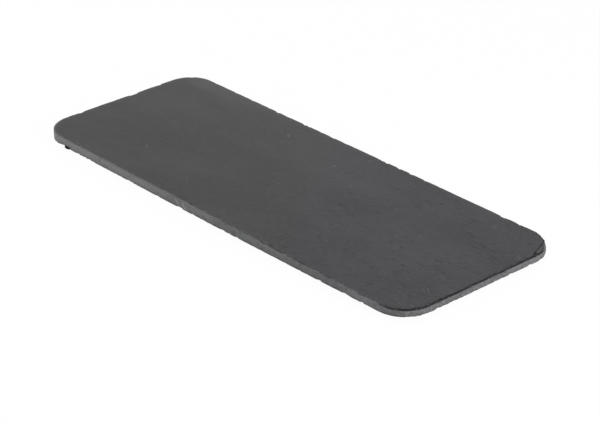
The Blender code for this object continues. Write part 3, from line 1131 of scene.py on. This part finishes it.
def spallRise(x, y, halfWidth):
    # broken out of the lower arris beside the front left foot
    side = x - edges["spallX"]
    along = calc("MINIMUM", ramp(side, -edges["spallLeft"], -edges["spallFull"], smooth=False),
                 ramp(side, edges["spallRight"], edges["spallRight"] - edges["spallSoft"]))
    return along * ramp(y + halfWidth, edges["spallReach"], 0.0) * edges["spallHeight"]


def jagRise(x, plan, rimDistance):
    spacing = edges["jagSpacing"]
    jags = ramp(noise(stretched(plan, spacing, spacing, 1, edges["jagSeed"]), detail=1.0), *edges["jagEdge"])
    return (ramp(rimDistance, edges["jagWidth"], 0.0) * jags * ramp(x, *edges["jagsFrom"])
            * ramp(x, *edges["jagsFull"], edges["frontJags"]) * edges["jagRise"])


def rimSinking(x, y, level, topLoss, underNicks):
    # how far the cut rim lies inside the outline
    waver = noise(joinXyz(x, y, level * edges["waverRise"]), 1 / edges["waverLength"], detail=2.0)
    layers = noise(stretched(joinXyz(x, y, level * edges["layerRise"]), *edges["layerSize"]),
                   detail=2.0, rough=0.6)
    return (waver * edges["waver"] + layers * edges["layerRelief"] + ramp(level, *edges["upperRim"]) * topLoss
            + ramp(level, *edges["lowerRim"]) * underNicks * edges["nickReach"])


# where a highlight is painted along the top arris
arrisWearAndHighlight = {
    "frontward": (0.3, -0.3),  # Y of the way out of the stone
    "size": 0.011,
    "span": (0.2, 0.8),
    "noiseShare": 0.5,
    "rubbedAndLitShare": 0.5,
    # steps along the front arris where the painted highlight grows, in half lengths of the slab from its
    # middle:
    # where each starts, where it is full and how much it adds
    "rubbedAndLit": [(-0.02, -0.12, 0.40), (0.36, 0.30, 0.32), (0.54, 0.48, 0.28)],
    "bareAt": 0.69,  # the middle of the stretch where the painted highlight is strongest
    "bareEdge": (0.20, 0.16, 0.0, 0.60),
    "dustWander": 0.4,
    "dustEdge": (0.1, -0.25),
}


# where the top arris gets its painted highlight, and where the rim is dusty
def wearHighlightAndDust(plan, outward, lengthways):
    wander = noise(plan, 1 / arrisWearAndHighlight["size"], detail=2.0, rough=0.6)
    rubbedAndLit = sum(ramp(lengthways, start, full, 0.0, share) for start, full, share in arrisWearAndHighlight["rubbedAndLit"])
    rubbedAndLit = rubbedAndLit + ramp(abs(lengthways - arrisWearAndHighlight["bareAt"]), *arrisWearAndHighlight["bareEdge"])
    frontward = ramp(splitXyz(outward)[1], *arrisWearAndHighlight["frontward"])
    worn = (frontward * rubbedAndLit * arrisWearAndHighlight["rubbedAndLitShare"]
            + ramp(wander, *arrisWearAndHighlight["span"], 0.0, arrisWearAndHighlight["noiseShare"], smooth=False))
    dusted = ramp(lengthways + (wander - 0.5) * arrisWearAndHighlight["dustWander"], *arrisWearAndHighlight["dustEdge"])
    return worn, dusted


def finished(block, position, material):
    block = addNode("GeometryNodeSetPosition", {"Geometry": block, "Position": position})
    block = addNode("GeometryNodeSetShadeSmooth", {0: block})
    block = addNode("GeometryNodeRealizeInstances", {"Geometry": block})
    return addNode("GeometryNodeSetMaterial", {"Geometry": block, "Material": material})


def rivenSlabTree():
    inputs = {
        "Length": (number, slab["length"]),
        "Width": (number, slab["width"]),
        **{corner + " Radius": (number, radius) for corner, radius in slab["cornerRadii"].items()},
        "Left Thickness": (number, slab["leftThickness"]),
        "Right Thickness": (number, slab["rightThickness"]),
        "Belly": (number, slab["belly"]),
        "Seat Height": (number, slab["seatHeight"]),
        "Cells Along": (whole, slab["cellsAlong"]),
        "Cells Across": (whole, slab["cellsAcross"]),
        "Rim Rows": (whole, slab["rimRows"]),
        "Marks": (anyObject, None),
        "Face Finish": (anyMaterial, None),
        "Rim Finish": (anyMaterial, None),
    }
    tree, given, result = newTree("rivenSlab", "GeometryNodeTree", inputs, {"Geometry": geometry})
    halfLength, halfWidth = given["Length"] * 0.5, given["Width"] * 0.5
    block = addNode("GeometryNodeMeshCube", {
        "Size": (2, 2, 1),
        "Vertices X": given["Cells Along"] + 1,
        "Vertices Y": given["Cells Across"] + 1,
        "Vertices Z": given["Rim Rows"] + 1,
    })
    u, v, h = splitXyz(addNode("GeometryNodeInputPosition", {}, tree))
    level = h + 0.5  # 0 on the underside, 1 on top
    onTop = calc("GREATER_THAN", level, slab["topFrom"])
    x, y, radius = roundedPlan(u, v, given, halfLength, halfWidth)
    plan = joinXyz(x, y, 0.0)
    rimDistance, outward = fromRim(plan, halfLength, halfWidth, radius)

    # the edges
    arrisDrop, dressed = arrisDrops(x, y, level, plan, rimDistance, halfLength - radius)
    nearRim = ramp(rimDistance, edges["nickWidth"], 0.0)
    topNicks, underNicks = nicks(plan, edges["topSeed"]), nicks(plan, edges["underSeed"])
    reachLoss, dropLoss = flakeLoss(plan)
    free = offFeet(plan)
    topDrop = (arrisDrop + dressed * edges["dressedDrop"]
               + nearRim * calc("MAXIMUM", topNicks * edges["nickDrop"], dropLoss))
    underRise = (arrisDrop + nearRim * underNicks * free * (0.5 * edges["nickDrop"])
                 + jagRise(x, plan, rimDistance))
    underRise = calc("MAXIMUM", underRise, spallRise(x, y, halfWidth))

    # the two faces
    relieved = {"Place": plan, "Half Length": halfLength}
    reliefGroup = rivenReliefTree()
    topRelief, = placeGroup(reliefGroup, {**relieved, "Seed": slab["topSeed"]})
    underRelief, = placeGroup(reliefGroup, {**relieved, "Seed": slab["underSeed"]})
    thickness = ramp(x, -halfLength, halfLength, given["Left Thickness"], given["Right Thickness"], False)
    lengthways = x / halfLength
    sag = (1.0 - calc("POWER", abs(lengthways), 2.0)) * given["Belly"]
    top = given["Seat Height"] + thickness + topRelief - topDrop
    under = given["Seat Height"] + free * (underRelief - sag) + underRise
    z = under + level * (top - under)

    # the cut rim
    topLoss = calc("MAXIMUM", topNicks * edges["nickReach"], reachLoss)
    sunk = rimSinking(x, y, level, topLoss, underNicks) * ramp(rimDistance, edges["rimDepth"], 0.0)
    inwards = addNode("ShaderNodeVectorMath", {0: outward, "Scale": -sunk}, operation="SCALE")
    position = vectorCalc("ADD", joinXyz(x, y, z), inwards)

    # what the finishes read is stored before the block takes its shape
    normalZ = splitXyz(addNode("GeometryNodeInputNormal", {}, tree))[2]
    worn, dusted = wearHighlightAndDust(plan, outward, lengthways)
    markPlace, markCut = nearMarks(tree, given["Marks"], plan, onTop)
    stored = {
        "cutFace": (calc("LESS_THAN", abs(normalZ), slab["rimSteepness"]), "FACE", "FLOAT"),
        "rimDistance": (rimDistance, "POINT", "FLOAT"),
        "dressed": (dressed * onTop, "POINT", "FLOAT"),
        "level": (level, "POINT", "FLOAT"),
        "worn": (worn, "POINT", "FLOAT"),
        "dusted": (dusted, "POINT", "FLOAT"),
        # broad patches, partly clouding and partly painted light
        "cloud": (cloudAndLightTone(plan, cloudsAndLight) * onTop, "POINT", "FLOAT"),
        "rimCloud": (cloudAndLightTone(plan, rimCloudsAndLight), "POINT", "FLOAT"),
        "markPlace": (markPlace, "CORNER", "FLOAT_VECTOR"),
        "markCut": (markCut, "CORNER", "FLOAT_VECTOR"),
    }
    for name, (value, domain, kind) in stored.items():
        block = addNode("GeometryNodeStoreNamedAttribute", {"Geometry": block, "Name": name, "Value": value},
                        data_type=kind, domain=domain)
    block = finished(block, position, given["Face Finish"])
    rimFaces = addNode("GeometryNodeInputNamedAttribute", {"Name": "cutFace"}, tree)
    feeds = {"Geometry": block, "Selection": rimFaces, "Material": given["Rim Finish"]}
    feed(result["Geometry"], addNode("GeometryNodeSetMaterial", feeds))
    return tree


def makeSlab():
    holder = markPoints()
    piece = runTree("rivenSlab", rivenSlabTree(),
                    {"Marks": holder, "Face Finish": rivenSlate, "Rim Finish": cutRim})
    bpy.data.objects.remove(holder, do_unlink=True)
    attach(piece, "root")
    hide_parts("slab")
    print("slab made:", len(piece.data.polygons), "faces")


makeSlab()


# the feet

foot = {
    "radius": 0.004,  # makeFeet takes each foot's radius and height from the frame
    "height": 0.0024,
    "sides": 48,
    "bands": 12,
    "rings": 6,
    "rounding": 0.0009,
    "fullness": 0.98,  # of a quarter round, so that it still slopes where it meets the sole
    "draft": 0.00015,  # how much narrower the top is than the widest part
    "glueLine": 0.00028,  # the top reaches up to the stone
}


def bumperFootTree():
    inputs = {
        "Radius": (number, foot["radius"]),
        "Height": (number, foot["height"]),
        "Rounding": (number, foot["rounding"]),
        "Draft": (number, foot["draft"]),
        "Place": (point, None),
        "Finish": (anyMaterial, None),
    }
    tree, given, result = newTree("bumperFoot", "GeometryNodeTree", inputs, {"Geometry": geometry})
    block = addNode("GeometryNodeMeshCylinder", {
        "Vertices": foot["sides"],
        "Side Segments": foot["bands"],
        "Fill Segments": foot["rings"],
        "Radius": 1.0,
        "Depth": 1.0,
    }, tree)
    x, y, z = splitXyz(addNode("GeometryNodeInputPosition", {}, tree))
    level = clamped(z + 0.5) * given["Height"]
    low = clamped(1.0 - level / given["Rounding"])
    curve = 1.0 - calc("SQRT", 1.0 - low * low * foot["fullness"])
    size = given["Radius"] - (curve * given["Rounding"] + given["Draft"] * (level / given["Height"]))
    position = vectorCalc("ADD", joinXyz(x * size, y * size, level), given["Place"])
    feed(result["Geometry"], finished(block, position, given["Finish"]))
    return tree


def makeFeet():
    tree = bumperFootTree()
    for name in footNames:
        low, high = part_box(name)
        words = name.split("_")
        piece = runTree("rubberFoot" + words[1].title() + words[2].title(), tree, {
            "Radius": (high[0] - low[0]) / 2,
            "Height": high[2] - low[2] + foot["glueLine"],
            "Rounding": foot["rounding"],
            "Draft": foot["draft"],
            "Place": ((low[0] + high[0]) / 2, (low[1] + high[1]) / 2, low[2]),
            "Finish": blackRubber,
        })
        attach(piece, "root")
        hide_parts(name)


makeFeet()
print("feet made")
